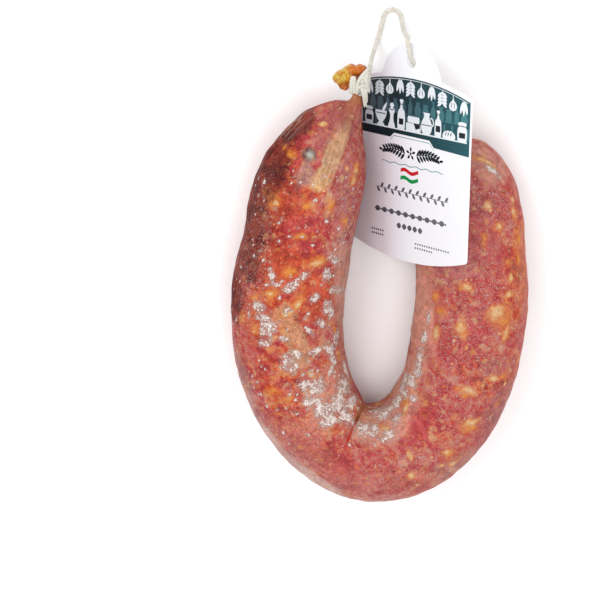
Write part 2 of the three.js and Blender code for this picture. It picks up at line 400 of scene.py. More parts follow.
# Folds of slack casing along the outer shoulder of the left limb.
in_folds = rise(along, 16, 25) * (1 - rise(along, 38, 54))
in_folds *= rise(outer_side, 0.35, 0.7) * rise(up_side, -0.2, 0.2)
push += 0.5 * in_folds * np.sin(turn_round * 15 + 3.2 * sway + along * 0.05)

# The fold in the bend's inner side, and the crease that runs from it over the top.
CREASE_PLACE = (-14.0, -66.3)
CREASE_DEPTH = 1.8
CREASE_HALF_WIDTH = 6.5
CREASE_LINE = [
    (-5.1, -49.2, 23.3), (-6.1, -50.2, 26.7), (-7.1, -51.5, 29.3), (-8.1, -52.7, 31.2), (-9.3, -54.3, 33.0),
    (-10.2, -56.0, 34.3), (-11.9, -59.5, 36.2), (-12.7, -61.8, 36.9), (-13.7, -64.4, 37.3),
]
axis_points = np.array([list(row) for row in body_route])
axis_steps = np.linalg.norm(np.diff(axis_points[:, :3], axis=0), axis=1)
nearest = np.searchsorted(np.cumsum(np.r_[0, axis_steps]), along)
axis_at = axis_points[np.clip(nearest, 0, len(axis_points) - 1)]
from_crease = np.hypot(axis_at[:, 0] - CREASE_PLACE[0], axis_at[:, 1] - CREASE_PLACE[1])
push -= CREASE_DEPTH * np.exp(-((from_crease / CREASE_HALF_WIDTH) ** 2)) * np.maximum(-outer_side, 0)


def distance_to_line(points, line):
    best = np.full(len(points), np.inf)
    share = np.zeros(len(points))
    for k, (a, b) in enumerate(zip(line[:-1], line[1:])):
        a, b = np.array(a), np.array(b)
        t = np.clip((points - a) @ (b - a) / ((b - a) @ (b - a)), 0, 1)
        gap = np.linalg.norm(points - (a + t[:, None] * (b - a)), axis=1)
        share = np.where(gap < best, (k + t) / (len(line) - 1), share)
        best = np.minimum(best, gap)
    return best, share


crease_curve = [tuple(p) for p in smooth_route(CREASE_LINE, 5)]
crease_gap, crease_share = distance_to_line(places, crease_curve)
crease_fade = (0.35 + 0.65 * rise(crease_share, 0.1, 0.4)) * (1 - rise(crease_share, 0.7, 1.0))
push -= 1.0 * np.exp(-((crease_gap / 0.6) ** 2)) * crease_fade
push += 0.4 * np.exp(-(((crease_gap - 2.2) / 1.5) ** 2)) * crease_fade

# Marks seen from above: place, half length, half width and turn in degrees from +X.
CREAM_FAT = [
    (-32, 61.5, 2.3, 1.5, -20), (-22, 62, 2.3, 1.2, 0), (-10.5, 40.5, 1.5, 1.5, 0),
    (-39.5, 33.5, 1.9, 1.5, -30), (-9.5, 44.5, 1.9, 1.2, 0), (-24, 10.5, 3.5, 1.3, 5),
    (-41.5, -1, 1.9, 1, 10), (-35.5, -8, 2.7, 1.9, 20), (-31, -5, 2.7, 1.3, 55), (-26, -33, 2.3, 1.5, -40),
    (34.5, -52, 3.3, 1.8, 10), (33.5, -39, 3.5, 1.7, -25), (26, -64, 1.9, 1.5, 20),
    (29, -69.5, 2.1, 1.5, 40), (24, -70, 1.5, 1, 0), (12.5, -74, 2.1, 1.9, 90), (2, -56.5, 1.9, 1.2, -20),
    (10, -48.5, 3.8, 1.2, 82), (43, -34.5, 3.5, 1.4, -12), (40, 46.5, 5.4, 1.2, -28),
    (39.5, 31.5, 1.9, 1.7, 40), (49.5, 29, 1.5, 1.5, 45), (49.5, 33, 1.5, 1.2, 90), (44, 23.5, 1.4, 1.4, 0),
    (32, 1.5, 2.1, 1.4, -20), (48, -2, 2.3, 1.5, 15), (43.5, -8.5, 4.6, 3.3, 12), (47, -16.5, 3.4, 1.2, 68),
    (30, -14, 2.5, 2.5, -30), (21, -17, 3.5, 1.5, 80), (11.5, -65.5, 2.3, 1.3, -70),
    (49, 4.5, 2.3, 1.5, 90),
]
ORANGE_FAT = [
    (-32, 62, 4.6, 1.5, 10), (-10.5, 41, 3.1, 2.7, 90), (-9.5, 45.5, 3.5, 1.9, 90),
    (-41, 34.5, 4.6, 4.2, 90), (-43, 38, 3.1, 3.1, 0), (-34, 51, 3.1, 2.3, -30),
    (-36.5, 52.5, 2.7, 1.9, 90), (-23.5, 11, 5, 2.7, 5), (-34, 8, 3.5, 2.3, 0), (-47.5, -2.5, 3.1, 2.3, 20),
    (-47.5, -15, 3.1, 2.7, 10), (-52.5, -12, 2.7, 2.7, 0), (-41.5, -1, 3.8, 2.7, 0),
    (-31, -4, 4.2, 2.3, 50), (-19, 32.5, 3.5, 2.3, 90), (-13.5, 25, 2.7, 2.3, 90), (-27.5, 33, 3.1, 2.3, 0),
    (-14.5, -46, 2.7, 2.3, 40), (-16.5, -51, 1.9, 1.9, 0), (-15.5, -27.5, 3.8, 1.9, -70),
    (-17, -17, 3.1, 1.5, -60), (34.5, -53.5, 4.6, 3.1, 10), (31, -38.5, 3.8, 2.3, -40),
    (45.5, -10.5, 6, 4.4, -25), (47.5, -17, 4.2, 2.2, 68), (44, 23.5, 2.4, 2.4, 0),
    (38, 19.5, 3.1, 1.3, 90), (52, 17.5, 2.7, 1.5, 90), (52, 10.5, 3.1, 1.5, 90), (47.5, 10.5, 1.5, 1.5, 0),
    (31.5, 1.5, 3.5, 2.3, 0), (20.5, -3, 2.3, 2.3, 0), (22.5, -8.5, 2.7, 2.7, 0),
    (31, -16.5, 2.7, 1.9, -30), (53, -29.5, 3.1, 1.5, 90), (46.5, -34, 3.1, 1.5, -20),
    (26, -65, 3.5, 3.1, 90), (10, -45, 4.6, 2.3, 90), (1.5, -56, 3.1, 1.9, -20), (-41, -39.5, 3.1, 1.9, 20),
    (-35, -41.5, 3.1, 2.3, 0), (50.5, 27.5, 3.1, 2.3, 90), (-30.5, 21.5, 3.5, 1.9, 0),
]
MOULD = [
    (-41, 6.5, 1.7, 1.4, 90), (-34, 2, 3, 1.6, 30), (-29, 5.5, 2.6, 1.2, 35), (-25, -2.5, 2.3, 1.4, 30),
    (-35.5, -6.5, 1.9, 0.8, 25), (-46, -6.5, 2.6, 1.9, -20), (-44.5, -10.5, 2.3, 1.5, 0),
    (-42.5, -14.5, 3.5, 2.8, 40), (-44, -20.5, 2.3, 1.5, 30), (-22.5, -13, 2.3, 1.5, -30),
    (-26.5, -15, 2.3, 0.9, -45), (-16.5, -20.5, 2.7, 1.9, 60), (-19, -23.5, 3.1, 1.9, -30),
    (-25, -23.5, 2.7, 1.5, 10), (-34.5, -28.5, 3.1, 3.1, 40), (-32, -24, 2.3, 1.5, -20),
    (-18.5, -32.5, 2.7, 1.2, 50), (-28.5, -37, 2.3, 2.3, 0), (-24.5, -38, 3.5, 3.5, 0),
    (-13.5, -39.5, 3.5, 3.5, 60), (-17.5, -28.5, 2.3, 1.5, -30), (-20, -7.5, 2.7, 2.3, 90),
    (-18.5, -10, 2.3, 1.9, 90), (-20, 5.5, 2.3, 1.9, 90), (-18, 11, 3.5, 1.5, -30),
    (-16, -44.5, 4.6, 3.1, 50), (-19, -52, 3.8, 2.3, 30), (-13, -51, 3.5, 2.7, -30),
    (-10.5, -46.5, 4.6, 1.9, 30), (-5, -56, 4.6, 3.1, 10), (1.5, -51.5, 3.8, 3.1, 40),
    (6.5, -47, 3.5, 2.3, 50), (9.5, -42, 3.5, 2.3, -30), (12, -37.5, 3.8, 1.9, -20),
    (-22, -46.5, 3.5, 3.1, 90), (-26, -43.5, 2.7, 2.3, 0), (-36.8, -18.3, 1.5, 1.2, 0),
    (-39.5, 2.5, 1.9, 0.8, 0), (-16, -1.5, 3.8, 1.5, -10), (-12.5, -35, 3.1, 1.9, -30),
    (15, -28, 4.2, 1.8, 75), (17, -20, 3, 1.5, 80), (14.5, -33.5, 2.6, 2.2, 50), (10, -39, 3.2, 2.4, 45),
    (18.5, -12, 2.2, 1, 85), (42, 44, 3.5, 1.4, -40), (3.5, -58.5, 3, 1.8, 10), (7, -52.5, 2.4, 1.6, 40),
    (12.5, -44, 1.8, 1.4, 0),
]


def seen_from_above(marks):
    """Each mark's middle on the surface, its two half sizes and the direction of its length."""
    for x, y, half_length, half_width, turn in marks:
        gap = np.where(normals[:, 2] > 0.15, np.hypot(places[:, 0] - x, places[:, 1] - y), np.inf)
        yield int(gap.argmin()), half_length, half_width, np.array([*cos_sin(turn), 0])


def scattered(count, smallest, largest, allowed, seed):
    """Marks at random on the allowed part of the surface."""
    chance = random.Random(seed)
    choices = np.flatnonzero(allowed)
    for _ in range(count):
        size = chance.uniform(smallest, largest)
        towards = np.array([chance.uniform(-1, 1) for _ in range(3)])
        yield int(choices[chance.randrange(len(choices))]), size, size * chance.uniform(0.4, 0.8), towards


def depth_in(marks):
    """How deep each point lies in a mark: 1 in the middle, 0 on the rim, down to -1 outside."""
    depth = np.full(len(places), -1.0)
    for middle, half_length, half_width, towards in marks:
        normal = normals[middle]
        length_way = towards - normal * (towards @ normal)
        length_way /= np.linalg.norm(length_way)
        width_way = np.cross(normal, length_way)
        gap = places - places[middle]
        near = np.abs(gap).max(1) < 2.2 * half_length
        reach = np.sqrt(
            (gap[near] @ length_way / half_length) ** 2 + (gap[near] @ width_way / half_width) ** 2
            + (gap[near] @ normal / half_length) ** 2
        )
        depth[near] = np.maximum(depth[near], 1 - reach)
    return depth


hidden = (up_side < 0.05) & (from_end > 16)
anywhere = from_end > 16
cream_fat = np.maximum(depth_in(seen_from_above(CREAM_FAT)), depth_in(scattered(46, 1.4, 4.2, hidden, 3)))
cream_fat = np.maximum(cream_fat, depth_in(scattered(120, 0.6, 1.3, anywhere, 4)))
orange_fat = depth_in(seen_from_above(ORANGE_FAT))
orange_fat = np.maximum(orange_fat, depth_in(scattered(40, 1.2, 3.6, hidden, 5)))
mould = np.maximum(depth_in(seen_from_above(MOULD)), depth_in(scattered(26, 1.4, 4.6, hidden, 6)))
flecked = (places[:, 0] < 2) & (up_side > 0.2) & (places[:, 1] < 46) & (places[:, 1] > -62)
mould = np.maximum(mould, depth_in(scattered(190, 0.35, 1.0, flecked, 8)))
push += 0.16 * rise(np.maximum(cream_fat, orange_fat), 0.0, 0.6)
push += 0.2 * rise(mould + 0.5 * roughness_at(places * 0.7, 2.0), 0.1, 0.5)

# Broad differences of tone, on the plan: place, half length, half width, turn, tone and strength.
MAROON = (0.14, 0.01, 0.006)
RUST = (0.27, 0.022, 0.008)
MAUVE = (0.31, 0.082, 0.08)
CRIMSON = (0.38, 0.03, 0.036)
EMBER = (0.42, 0.046, 0.015)
VEIL = (0.5, 0.34, 0.295)
TAN = (0.46, 0.225, 0.115)
STRAW = (0.45, 0.28, 0.135)
PALE = (0.45, 0.2, 0.15)
ROSE = (0.37, 0.088, 0.08)
# A pale pink: partly the tone of the meat, partly painted light on inner sides where shade falls.
PINK_AND_PAINTED_LIGHT = (0.66, 0.285, 0.205)
TONES = [
    (-16, 61, 17, 10, 35, MAUVE, 0.9), (-13.5, 36, 26, 7, 82, MAUVE, 0.85),
    (-32, 61, 10, 5, 35, (0.36, 0.075, 0.025), 0.8), (-43, 27, 36, 14, 82, RUST, 0.9),
    (-44, 26, 34, 9.5, 76, MAROON, 0.9), (-38, 51, 16, 7, 50, MAROON, 0.85),
    (-55, -4, 14, 6, 88, MAROON, 0.8), (-29, 23, 17, 11, 10, CRIMSON, 0.95),
    (-38, 10, 14, 11, 60, EMBER, 0.8), (-36, 34, 12, 8, 60, (0.34, 0.038, 0.02), 0.8),
    (-47, -13, 15, 9, 90, (0.37, 0.038, 0.013), 0.9), (-21.5, -3, 17, 9, 80, EMBER, 0.9),
    (-30, 5, 10, 8, 0, EMBER, 0.7), (-14, -2, 36, 5.5, 92, PALE, 0.85),
    (-52, -42, 30, 7, 104, (0.32, 0.135, 0.125), 0.8), (-30, -64, 24, 16, -45, ROSE, 0.85),
    (-10, -76, 26, 10, -8, ROSE, 0.7), (-6, -70, 20, 6, 4, CRIMSON, 0.6),
    # The two pale rows below, on the lower inner side of the left limb and in the crook of the bend: painted
    # light where shade falls.
    (-19, -41, 22, 13, 70, (0.52, 0.2, 0.135), 0.75), (-1, -56, 16, 9, 10, (0.54, 0.22, 0.14), 0.8),
    (-18.5, 50, 15, 5, 70, STRAW, 1), (-22.5, 42.5, 7.5, 4.5, 60, (0.5, 0.3, 0.115), 1),
    (-28.5, 44, 7, 5, 70, (0.37, 0.2, 0.17), 0.9), (-14, 57, 10, 2.4, 74, STRAW, 0.8),
    (-20, 33, 9, 2.2, 86, STRAW, 0.8), (-27, 51.2, 4, 3.8, 0, (0.06, 0.05, 0.048), 1),
    (-26.6, 51, 2.3, 2, -40, (0.24, 0.31, 0.27), 1), (-31.5, -20, 17, 6.5, 106, TAN, 1),
    # The second row below, pale, in the crook of the bend: painted light where shade falls.
    (-36, -8, 8, 6, 30, TAN, 0.95), (8, -51, 16, 8, 50, (0.56, 0.27, 0.21), 0.85),
    (18, -51, 16, 9, 55, CRIMSON, 0.95), (31, -20, 20, 12, 40, CRIMSON, 0.85),
    (37, 24, 28, 14, 92, (0.31, 0.05, 0.052), 0.85), (26, 6, 14, 9, 20, MAUVE, 0.7),
    # The last two rows below, pale pink on the right limb's inner side: partly the meat's tone, partly
    # painted light where shade falls.
    (44, -30, 14, 8, 10, MAUVE, 0.6), (15.5, -8, 34, 8, 91, PINK_AND_PAINTED_LIGHT, 0.85), (10, -38, 16, 7, 60, PINK_AND_PAINTED_LIGHT, 0.85),
    (54, 9, 24, 6, 91, (0.45, 0.1, 0.035), 0.8), (46, -47, 22, 10, 62, MAUVE, 0.7),
    (30, -71, 22, 10, 35, (0.35, 0.13, 0.1), 0.7), (40, 46, 16, 8, -40, PALE, 0.75),
    (12, -76, 14, 8, 10, (0.42, 0.08, 0.05), 0.6), (-11.5, 66, 6, 4, 70, (0.4, 0.13, 0.07), 0.7),
    (-44, -59.5, 14, 3.6, 134, VEIL, 0.85), (-25.5, -77, 26, 4.2, -38, VEIL, 0.95),
    (0, -89, 22, 4, -14, (0.46, 0.25, 0.19), 0.85),
]
# Along the left side the colour goes nearly black: painted shade, over meat that has dried dark.
SHADE_AND_DRIED_ZONES = [
    (-46.5, 34, 24, 12, 70), (-51, 15, 26, 10.5, 80), (-55, -3, 24, 4.5, 86), (-41, 46, 17, 9.5, 58),
    (-33, 59, 19, 5.5, 42),
]
# Where the meat has dried to a warm orange red, and where grains of salt and mould lie thickest.
WARM = [
    (-37, 15, 50, 18, 87), (-30, -38, 30, 19, 110), (52, 4, 28, 7, 86), (42, -34, 16, 10, -20),
    (10, -46, 14, 6, 75),
]
FROST = [
    (-14, 20, 40, 6, 86), (-24, -36, 28, 16, 80), (-47, 10, 40, 7, 84), (-2, -56, 18, 10, 20),
    (13, -24, 34, 11, 80), (34, -20, 50, 17, 85), (8, -72, 28, 12, 10), (40, 34, 18, 9, -50),
    (-42, -62, 24, 10, -45),
]
# Where the casing lies in fine creases, with pale lines along them: partly the casing's pale ridges, partly
# painted highlights.
CREASED = [
    (-19, 46, 18, 6, 70), (-33, 62, 14, 5, 30), (-13, 6, 26, 5, 90), (-25, -77, 24, 6, -38),
    (2, -87, 22, 5, -6), (-46, -56, 20, 5, 118),
]
ragged = roughness_at(places * 0.13, 31.0) + 0.5 * roughness_at(places * 0.4, 17.0)
open_side = rise(normals[:, 2] + 0.25 * ragged, -0.6, 0.0)


def share_in(zones, low=0.0, high=0.75):
    """The share that each point of the open side has in zones drawn on the plan."""
    depth = np.full(len(places), -1.0)
    for x, y, half_length, half_width, turn in zones:
        c, s = cos_sin(turn)
        right, back = places[:, 0] - x, places[:, 1] - y
        reach = np.hypot((right * c + back * s) / half_length, (back * c - right * s) / half_width)
        depth = np.maximum(depth, 1 - reach)
    return rise(depth, low, high) * open_side


tone_colour = np.zeros((len(places), 3))
tone_share = np.zeros(len(places))
for *zone, tone, strength in TONES:
    share = strength * share_in([zone])
    total = share + tone_share * (1 - share)
    tone_colour += (np.array(tone) - tone_colour) * (share / np.maximum(total, 1e-6))[:, None]
    tone_share = total

drifting = 0.5 + 0.5 * roughness_at(places * 0.05, 4.0)
warm = np.where(hidden, drifting, share_in(WARM, -0.1, 0.5))
frost = np.where(hidden, 0.8 * drifting, share_in(FROST, -0.3, 0.6))
creased = share_in(CREASED, -0.2, 0.5)
dull = share_in([row[:5] for row in TONES if row[5] in (MAROON, RUST)])
shade_and_dried = rise(share_in(SHADE_AND_DRIED_ZONES, 0.0, 0.95) + 0.35 * ragged, 0.0, 0.75)
shade_and_dried *= share_in(SHADE_AND_DRIED_ZONES, -0.1, 0.25)
threads = np.stack([up_side * 20, outer_side * 20, along * 0.12], 1)

places += normals * push[:, None]
places[:, 2] = np.maximum(places[:, 2], 0.0)
body.data.vertices.foreach_set("co", (places * MM).ravel())
body.data.update()
for name, values in (
    ("cream_fat", cream_fat), ("orange_fat", orange_fat), ("mould", mould), ("crease", crease_gap),
    ("crease_share", crease_share), ("neck", 1 - rise(from_end, 7, 13)), ("shade_and_dried", shade_and_dried),
    ("frost", frost), ("warm", warm), ("creased", creased), ("dull", dull),
):
    write_points(body.data, name, values)
tones = body.data.attributes.new("tones", "FLOAT_COLOR", "POINT")
tones.data.foreach_set("color", np.column_stack([tone_colour, tone_share]).astype(np.float32).ravel())
thread_places = body.data.attributes.new("threads", "FLOAT_VECTOR", "POINT")
thread_places.data.foreach_set("vector", threads.astype(np.float32).ravel())


def casing_finish():
    finish = Finish("cured_casing")
    grain, cells, attribute, bump = finish.grain, finish.cells, finish.attribute, finish.bump
    times, plus, scaled = finish.times, finish.plus, finish.scaled
    edge, ramp, mix, laid = finish.edge, finish.ramp, finish.mix, finish.laid
    drift = finish.vector("SUBTRACT", finish.noise(0.35, 3).outputs["Color"], (0.5, 0.5, 0.5))
    kneaded = finish.vector("ADD", finish.place, finish.vector("SCALE", drift, Scale=5.0))
    blur = times(finish.math("SUBTRACT", grain(0.55, 4, 0.65), 0.5), 2.0)

    def chance_of(pieces):
        return finish.node("ShaderNodeSeparateColor", {"Color": pieces.outputs["Color"]}).outputs

    def piece_share(pieces, least, rim, core, soften=0.35):
        """1 in the middle of the pieces that chance picks, falling off over a torn rim."""
        picked = edge(chance_of(pieces)[0], least - 0.03, least + 0.03)
        reach = scaled(blur, soften, pieces.outputs["Distance"])
        return times(picked, edge(reach, rim, core))

    # Minced lean meat: shreds of many reds pressed together, dried to orange red in some places.
    patches = scaled(grain(0.11, 2, 0.5, twist=1.2), 0.75, -0.375)
    shreds = scaled(grain(0.42, 4, 0.6, kneaded), 0.85, 0.075)
    lean = plus(patches, shreds)
    cool_red = ramp(lean, [
        (0.34, (0.27, 0.018, 0.024)), (0.45, (0.37, 0.036, 0.04)), (0.55, (0.39, 0.085, 0.072)),
        (0.68, (0.44, 0.165, 0.13)),
    ])
    warm_red = ramp(lean, [
        (0.34, (0.24, 0.01, 0.005)), (0.45, (0.4, 0.03, 0.008)), (0.55, (0.46, 0.075, 0.016)),
        (0.68, (0.52, 0.19, 0.045)),
    ])
    warmth = scaled(grain(0.17, 3, 0.6), 3.2, -1.55)
    warmth = scaled(attribute("warm"), 0.7, warmth, clamp=True)
    colour = mix(warmth, cool_red, warm_red)
    crimson = piece_share(cells(0.2, kneaded), 0.66, 0.55, 0.1)
    colour = laid(colour, (0.33, 0.026, 0.036), crimson, 0.55)

    fibres = scaled(grain(0.95, 3, 0.7, kneaded), 2.0, -1.0)
    fibres = times(fibres, scaled(attribute("warm"), 0.7, 0.5))
    colour = finish.vector("SCALE", colour, Scale=plus(1.0, fibres))

    # The broad tones keep the mottling of the meat under them.
    tones = finish.node("ShaderNodeAttribute", {}, attribute_name="tones")
    light = scaled(edge(lean, 0.32, 0.7), 0.45, 0.78)
    light = plus(light, fibres)
    toned = mix(0.16, finish.vector("SCALE", tones.outputs["Color"], Scale=light), colour)
    torn = scaled(grain(0.3, 4, 0.65), 1.1, -0.55)
    share = edge(plus(tones.outputs["Alpha"], torn), 0.18, 0.8)
    colour = laid(colour, toned, share, 0.93)

    # Fat: scattered crumbs, then the larger pieces, orange where they are thin.
    crumbs = cells(0.28, kneaded)
    crumb_colour = ramp(
        chance_of(crumbs)[1], [(0.2, (0.46, 0.1, 0.018)), (0.5, (0.5, 0.2, 0.05)), (0.8, (0.5, 0.29, 0.14))]
    )
    colour = laid(colour, crumb_colour, piece_share(crumbs, 0.58, 0.5, 0.05, 0.5), 0.7)
    specks_of_fat = cells(0.7, kneaded)
    speck_colour = ramp(chance_of(specks_of_fat)[1], [(0.3, (0.5, 0.15, 0.025)), (0.7, (0.5, 0.27, 0.12))])
    colour = laid(colour, speck_colour, piece_share(specks_of_fat, 0.66, 0.55, 0.1), 0.62)
    orange = scaled(blur, 1.3, attribute("orange_fat"))
    orange_colour = ramp(orange, [(0.0, (0.46, 0.065, 0.01)), (0.8, (0.56, 0.2, 0.03))])
    colour = mix(edge(orange, -0.5, 0.9), colour, orange_colour)
    cream = scaled(blur, 0.8, attribute("cream_fat"))
    marbled = plus(cream, scaled(grain(0.9, 3, 0.7), 1.6, -0.8))
    cream_colour = ramp(marbled, [
        (0.0, (0.5, 0.14, 0.03)), (0.4, (0.54, 0.25, 0.085)), (0.8, (0.58, 0.36, 0.17)),
        (1.1, (0.6, 0.44, 0.25)),
    ])
    colour = mix(edge(cream, -0.4, 0.45), colour, cream_colour)
    # The neck is bare casing, amber brown.
    colour = laid(colour, (0.46, 0.2, 0.07), attribute("neck"), 0.85)

    # The left side taken nearly black: painted shade, over meat that has dried dark.
    blotches = scaled(grain(0.3, 4, 0.65), 1.9, -0.95)
    dark = edge(plus(attribute("shade_and_dried"), blotches), 0.1, 1.05)
    dark = times(dark, 0.85)
    dried = mix(edge(lean, 0.4, 0.62), (0.06, 0.004, 0.005), (0.17, 0.018, 0.01))
    colour = mix(dark, colour, dried)

    # Small dark specks, painted shade in pits; a thin haze; fine creases with pale lines along them, partly
    # painted highlights; and scattered white grains.
    pit_shade = edge(grain(1.9, 3, 0.65), 0.44, 0.32)
    colour = laid(colour, (0.14, 0.016, 0.014), pit_shade, 0.28)
    frost = attribute("frost")
    haze = scaled(frost, 0.14, grain(0.8, 4, 0.7))
    hazy = scaled(dark, -0.3, 0.34)
    colour = laid(colour, (0.42, 0.23, 0.19), edge(haze, 0.56, 0.8), hazy)
    thread = grain(0.5, 3, 0.6, attribute("threads", "Vector"))
    ridge = finish.math("ABSOLUTE", finish.math("SUBTRACT", thread, 0.5))
    # Pale lines on the creases: partly pale casing, partly painted highlights.
    ridge_lines_and_highlights = times(edge(ridge, 0.035, 0.008), attribute("creased"))
    colour = laid(colour, (0.62, 0.5, 0.42), ridge_lines_and_highlights, 0.32)
    fine = grain(1.6, 3, 0.72)
    grains = edge(scaled(frost, 0.07, fine), 0.665, 0.72)
    grit = cells(0.72)
    lone = edge(scaled(frost, 0.18, chance_of(grit)[0]), 0.84, 0.9)
    size = scaled(chance_of(grit)[1], 0.14, 0.08)
    lone = times(lone, finish.math("LESS_THAN", grit.outputs["Distance"], size))
    grains = finish.math("MAXIMUM", grains, lone)
    dusty = scaled(frost, 0.22, scaled(dark, -0.08, 0.08))
    dust = times(edge(fine, 0.5, 0.68), dusty)
    colour = mix(dust, colour, (0.56, 0.36, 0.3))
    colour = laid(colour, (0.6, 0.48, 0.43), grains, 0.68)

    # The crease: painted shade at its foot, open to the red meat higher up, with bare casing beside it.
    gap = attribute("crease")
    way = attribute("crease_share")
    fade = scaled(edge(way, 0.1, 0.4), 0.6, 0.4)
    fade = times(edge(way, 1.0, 0.84), fade)
    beside = times(edge(gap, 3.0, 0.8), edge(way, 0.75, 0.35))
    colour = laid(colour, (0.38, 0.155, 0.06), beside, 0.75)
    crease_shade_and_red = ramp(way, [(0.35, (0.14, 0.022, 0.006)), (0.5, (0.36, 0.01, 0.002))])
    opening = times(edge(gap, 0.85, 0.4), fade)
    colour = mix(opening, colour, crease_shade_and_red)

    # Mould in torn, flaky crusts, with a thin veil of it round them.
    veil = edge(scaled(blur, 0.7, attribute("mould")), -0.75, 0.7)
    colour = laid(colour, (0.45, 0.26, 0.21), veil, 0.5)
    flakes = scaled(grain(1.3, 4, 0.75), 3.4, -1.7)
    flakes = plus(flakes, scaled(grain(0.45, 2, 0.6), 2.2, -1.1))
    depth = finish.math("MINIMUM", plus(attribute("mould"), 0.55), 0.9)
    crust = edge(scaled(depth, 0.9, flakes), 0.38, 0.85)
    crust = times(crust, finish.math("SUBTRACT", 1.0, opening))
    crust_colour = ramp(grain(2.2, 3, 0.7), [
        (0.36, (0.44, 0.28, 0.24)), (0.48, (0.62, 0.52, 0.47)), (0.58, (0.8, 0.76, 0.72)),
    ])
    colour = laid(colour, crust_colour, crust, 0.9)

    height = scaled(crust, 0.7, times(grains, 0.35))
    height = scaled(fine, 0.5, height)
    pattern = bump(grain(0.5, 4, 0.65), 0.6, 0.6)
    pattern = bump(thread, 0.8, 0.5, pattern)
    dull = times(attribute("dull"), 0.35)
    rough = plus(dull, scaled(fine, 0.35, 0.36))
    rough = scaled(crust, 0.3, rough, clamp=True)
    normal = bump(height, 0.35, 0.9, pattern)
    return finish.set(Base_Color=colour, Roughness=rough, Specular_IOR_Level=0.2, Normal=normal)


body.data.materials.append(casing_finish())
bpy.ops.object.shade_smooth()
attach(body, "root")


# ---- The tied-off ends of the casing ----
# Past each tie the empty casing is twisted, cut off and dried to a hard, glossy amber stub of two
# lobes, which still shows the wrinkles of the twist.
LEFT_STUB = [
    ((-8.3, 80.6, 19.8), (3.0, 2.4, 2.8)), ((-12.4, 79.8, 19.6), (2.6, 2.4, 2.8)),
    ((-15.1, 77.6, 19.2), (2.8, 3.2, 3.0)), ((-14.1, 74.7, 18.8), (2.2, 2.0, 2.2)),
    ((-10.6, 80.6, 19.7), (3.0, 2.2, 2.8)),
]
RIGHT_STUB = [((8.6, 66.6, 13.2), (4.1, 3.9, 3.7)), ((6.4, 70.0, 11.8), (4.0, 3.5, 3.4))]
STUB_VOXEL = 0.25


def casing_stub(name, lobes, neck_end, seed):
    bpy.ops.object.select_all(action="DESELECT")
    parts = []
    for centre, size in lobes:
        bpy.ops.mesh.primitive_uv_sphere_add(segments=32, ring_count=20, location=Vector(centre) * MM)
        bpy.context.object.scale = Vector(size) * MM * 0.97
        parts.append(bpy.context.object)
    middle = sum((Vector(centre) for centre, _ in lobes), Vector()) / len(lobes)
    reach = Vector(neck_end) - middle
    bpy.ops.mesh.primitive_cone_add(
        vertices=24, radius1=3.0 * MM, radius2=1.9 * MM, depth=reach.length * MM,
        location=(middle + reach / 2) * MM, rotation=reach.to_track_quat("Z", "Y").to_euler(),
    )
    parts.append(bpy.context.object)
    for part in parts:
        part.select_set(True)
    bpy.ops.object.join()
    stub = bpy.context.object
    stub.name = name
    bpy.ops.object.transform_apply(location=True, rotation=True, scale=True)
    remesh = stub.modifiers.new("one_skin", "REMESH")
    remesh.mode = "VOXEL"
    remesh.voxel_size = STUB_VOXEL * MM
    bpy.ops.object.modifier_apply(modifier=remesh.name)
    smooth = stub.modifiers.new("melt", "SMOOTH")
    smooth.factor = 0.5
    smooth.iterations = 14
    bpy.ops.object.modifier_apply(modifier=smooth.name)
    knead(stub, name + "_lumps", 4.2 + seed, 0.35)
    knead(stub, name + "_folds", 3.2 + seed, 0.35, 0, "HARD_NOISE")
    knead(stub, name + "_wrinkles", 1.4, 0.06)
    bpy.ops.object.shade_smooth()
    return stub


def stub_finish(name, yellow_side, orange_side, tip):
    finish = Finish(name)
    drift = finish.grain(0.35, 3, 0.6, twist=0.8)
    sides = finish.node("ShaderNodeSeparateXYZ", {"Vector": finish.place}).outputs["X"]
    drift = finish.times(finish.math("SUBTRACT", drift, 0.5), 2.4)
    warmth = finish.plus(finish.edge(sides, yellow_side, orange_side), drift)
    colour = finish.ramp(warmth, [
        (0.0, (0.52, 0.345, 0.03)), (0.35, (0.56, 0.235, 0.012)), (0.7, (0.53, 0.14, 0.004)),
        (1.0, (0.42, 0.085, 0.002)),
    ])
    to_tip = finish.node("ShaderNodeVectorMath", {0: finish.place, 1: tip}, operation="DISTANCE")
    near_tip = finish.edge(to_tip.outputs["Value"], 4.2, 2.0)
    colour = finish.laid(colour, (0.4, 0.085, 0.015), near_tip, 0.85)
    # Darker brown patches: painted shade in the folds of the stub.
    folds = finish.edge(finish.grain(0.42, 3, 0.6, twist=1.5), 0.48, 0.36)
    colour = finish.laid(colour, (0.34, 0.075, 0.008), folds, 0.75)
    # Pale yellow streaks: painted highlights on the glossy casing.
    painted_highlights = finish.edge(finish.grain(0.6, 2), 0.56, 0.68)
    colour = finish.laid(colour, (0.62, 0.48, 0.1), painted_highlights, 0.6)
    return finish.set(
        Base_Color=colour, Roughness=0.3, Specular_IOR_Level=0.3, Subsurface_Weight=0.15,
        Subsurface_Scale=0.0015, Subsurface_Radius=(1.0, 0.4, 0.1), Coat_Weight=0.15,
        Coat_Roughness=0.15, Normal=finish.bump(finish.grain(0.9, 3, 0.6), 0.4, 0.7),
    )


left_stub = casing_stub("casing_end_left", LEFT_STUB, (-9.6, 75.6, 19.4), 0.0)
left_stub.data.materials.append(stub_finish("dried_casing_left", -15.5, -8.5, (-14.3, 73.8, 19.5)))
right_stub = casing_stub("casing_end_right", RIGHT_STUB, (10.4, 63.6, 13.4), 0.7)
right_stub.data.materials.append(stub_finish("dried_casing_right", 4.0, -6.0, (4.6, 72.0, 11.5)))
for stub in (left_stub, right_stub):
    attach(stub, "root")
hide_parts("salami")
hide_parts("salami")
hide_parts("salami")


